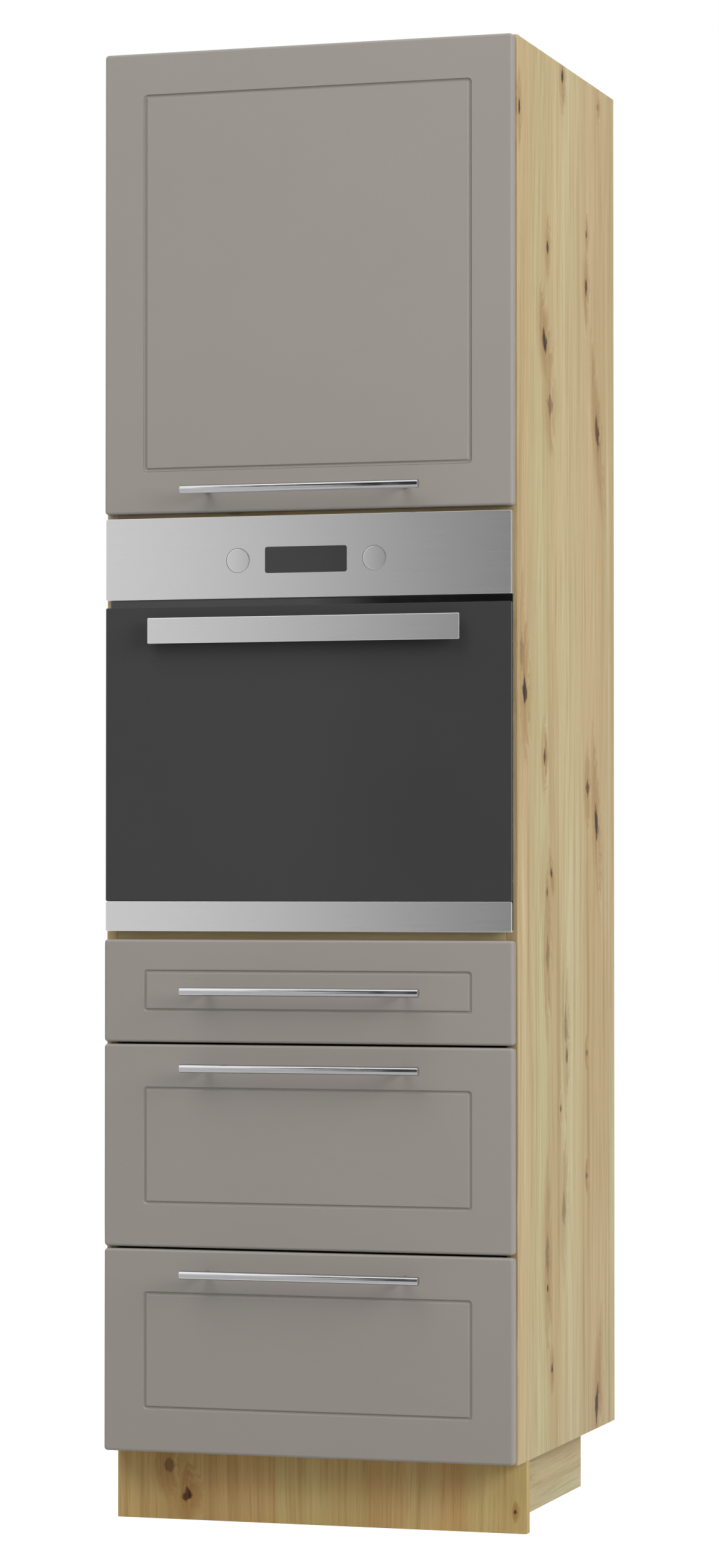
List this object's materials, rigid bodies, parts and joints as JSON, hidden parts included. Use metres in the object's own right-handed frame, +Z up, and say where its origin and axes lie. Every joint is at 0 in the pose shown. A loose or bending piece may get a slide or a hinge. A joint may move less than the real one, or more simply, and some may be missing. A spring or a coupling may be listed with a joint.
{
  "type": "tall oven housing unit",
  "caption": "Tall kitchen cabinet on a plinth: a lift-up flap cupboard above a built-in oven with a drop-down door, and drawers with bar handles below.",
  "frame": {"origin": "on the floor, under the middle of the overall box", "axes": "+Z up, -Y towards the front of the fronts, +X to the right as seen from the front"},
  "size_m": [0.6, 0.61, 2.07],
  "materials": {
    "oak": "light oak foil on chipboard, satin",
    "back_board": "pale thin hardboard",
    "lacquer": "warm grey satin foil on milled fibreboard",
    "chrome": "polished chrome",
    "grey_steel": "light grey coated sheet steel",
    "drawer_board": "pale grey faced chipboard",
    "nickel": "nickel plated steel",
    "strut_black": "black painted steel tube",
    "zinc": "galvanised sheet steel",
    "enamel": "dark speckled enamel",
    "brushed_steel": "brushed stainless steel, grain across",
    "black_glass": "black backed toughened glass, glossy",
    "display": "dark glossy window",
    "black_steel": "black enamelled sheet steel",
    "clear_glass": "clear toughened glass",
    "silicone": "matt dark silicone"
  },
  "bodies": {
    "carcass": {"side_panel_left": "oak", "side_panel_right": "oak", "bottom_panel": "oak", "top_panel": "oak", "oven_shelf": "oak", "cupboard_floor": "oak", "cupboard_shelf": "oak", "back_panel_lower": "back_board", "back_panel_upper": "back_board", "plinth_front": "oak", "plinth_side_left": "oak", "plinth_side_right": "oak", "plinth_rear_rail": "oak", "drawer_low_runner_left": "grey_steel", "drawer_low_runner_right": "grey_steel", "drawer_mid_runner_left": "grey_steel", "drawer_mid_runner_right": "grey_steel", "drawer_top_runner_left": "grey_steel", "drawer_top_runner_right": "grey_steel", "hinge_arm_left": "nickel", "hinge_arm_right": "nickel", "oven_casing": "zinc", "oven_cavity": "enamel", "oven_rack": "chrome", "oven_seal": "silicone", "oven_control_panel": "brushed_steel", "oven_display": "display"},
    "flap": {"flap_front": "lacquer", "flap_handle": "chrome", "hinge_cup_left": "nickel", "hinge_cup_right": "nickel", "strut_bracket": "zinc"},
    "hinge_link_left": {"hinge_link_left": "nickel"},
    "hinge_link_right": {"hinge_link_right": "nickel"},
    "strut_tube": {"strut_tube": "strut_black"},
    "strut_rod": {"strut_rod": "chrome"},
    "drawer_low": {"drawer_low_front": "lacquer", "drawer_low_handle": "chrome", "drawer_low_side_left": "grey_steel", "drawer_low_side_right": "grey_steel", "drawer_low_base": "drawer_board"},
    "drawer_mid": {"drawer_mid_front": "lacquer", "drawer_mid_handle": "chrome", "drawer_mid_side_left": "grey_steel", "drawer_mid_side_right": "grey_steel", "drawer_mid_base": "drawer_board"},
    "drawer_top": {"drawer_top_front": "lacquer", "drawer_top_handle": "chrome", "drawer_top_side_left": "grey_steel", "drawer_top_side_right": "grey_steel", "drawer_top_base": "drawer_board"},
    "oven_door": {"oven_door_pan": "black_steel", "oven_door_glass": "black_glass", "oven_door_inner_glass": "clear_glass", "oven_door_strip": "brushed_steel", "oven_door_handle": "brushed_steel"},
    "spindle_left": {"oven_spindle_left": "zinc"},
    "knob_left": {"oven_knob_left": "brushed_steel"},
    "spindle_right": {"oven_spindle_right": "zinc"},
    "knob_right": {"oven_knob_right": "brushed_steel"}
  },
  "joints": [
    {"name": "flap_lift", "type": "hinge", "parent": "carcass", "child": "flap", "pos_m": [0, -0.257, 2.064], "axis": [-1, 0, 0], "range_deg": [0, 90]},
    {"name": "hinge_link_left_swing", "type": "hinge", "parent": "carcass", "child": "hinge_link_left", "pos_m": [-0.198, -0.2532, 2.0423], "axis": [1, 0, 0], "range_deg": [0, 35.07]},
    {"name": "hinge_link_right_swing", "type": "hinge", "parent": "carcass", "child": "hinge_link_right", "pos_m": [0.198, -0.2532, 2.0423], "axis": [1, 0, 0], "range_deg": [0, 35.07]},
    {"name": "strut_swing", "type": "hinge", "parent": "carcass", "child": "strut_tube", "pos_m": [-0.27, -0.143, 1.814], "axis": [1, 0, 0], "range_deg": [0, 12.9]},
    {"name": "strut_stroke", "type": "slide", "parent": "strut_tube", "child": "strut_rod", "axis": [0, -0.4131, 0.9107], "range_m": [0, 0.06838]},
    {"name": "drawer_low_slide", "type": "slide", "parent": "carcass", "child": "drawer_low", "axis": [0, -1, 0], "range_m": [0, 0.37]},
    {"name": "drawer_mid_slide", "type": "slide", "parent": "carcass", "child": "drawer_mid", "axis": [0, -1, 0], "range_m": [0, 0.37]},
    {"name": "drawer_top_slide", "type": "slide", "parent": "carcass", "child": "drawer_top", "axis": [0, -1, 0], "range_m": [0, 0.37]},
    {"name": "oven_door_drop", "type": "hinge", "parent": "carcass", "child": "oven_door", "pos_m": [0, -0.257, 0.838], "axis": [1, 0, 0], "range_deg": [0, 90]},
    {"name": "knob_left_pull", "type": "slide", "parent": "carcass", "child": "spindle_left", "axis": [0, -1, 0], "range_m": [0, 0.016]},
    {"name": "knob_left_turn", "type": "hinge", "parent": "spindle_left", "child": "knob_left", "pos_m": [-0.0995, -0.259, 1.3495], "axis": [0, 1, 0], "range_deg": [0, 270]},
    {"name": "knob_right_pull", "type": "slide", "parent": "carcass", "child": "spindle_right", "axis": [0, -1, 0], "range_m": [0, 0.016]},
    {"name": "knob_right_turn", "type": "hinge", "parent": "spindle_right", "child": "knob_right", "pos_m": [0.0995, -0.259, 1.3495], "axis": [0, 1, 0], "range_deg": [0, 270]}
  ],
  "couplings": [
    {"joint": "hinge_link_left_swing", "follows": "flap_lift", "ratio": 0.38855},
    {"joint": "hinge_link_right_swing", "follows": "flap_lift", "ratio": 0.38855},
    {"joint": "strut_swing", "follows": "flap_lift", "ratio": 0.14218},
    {"joint": "strut_stroke", "follows": "flap_lift", "m_per_rad": 0.043404}
  ]
}
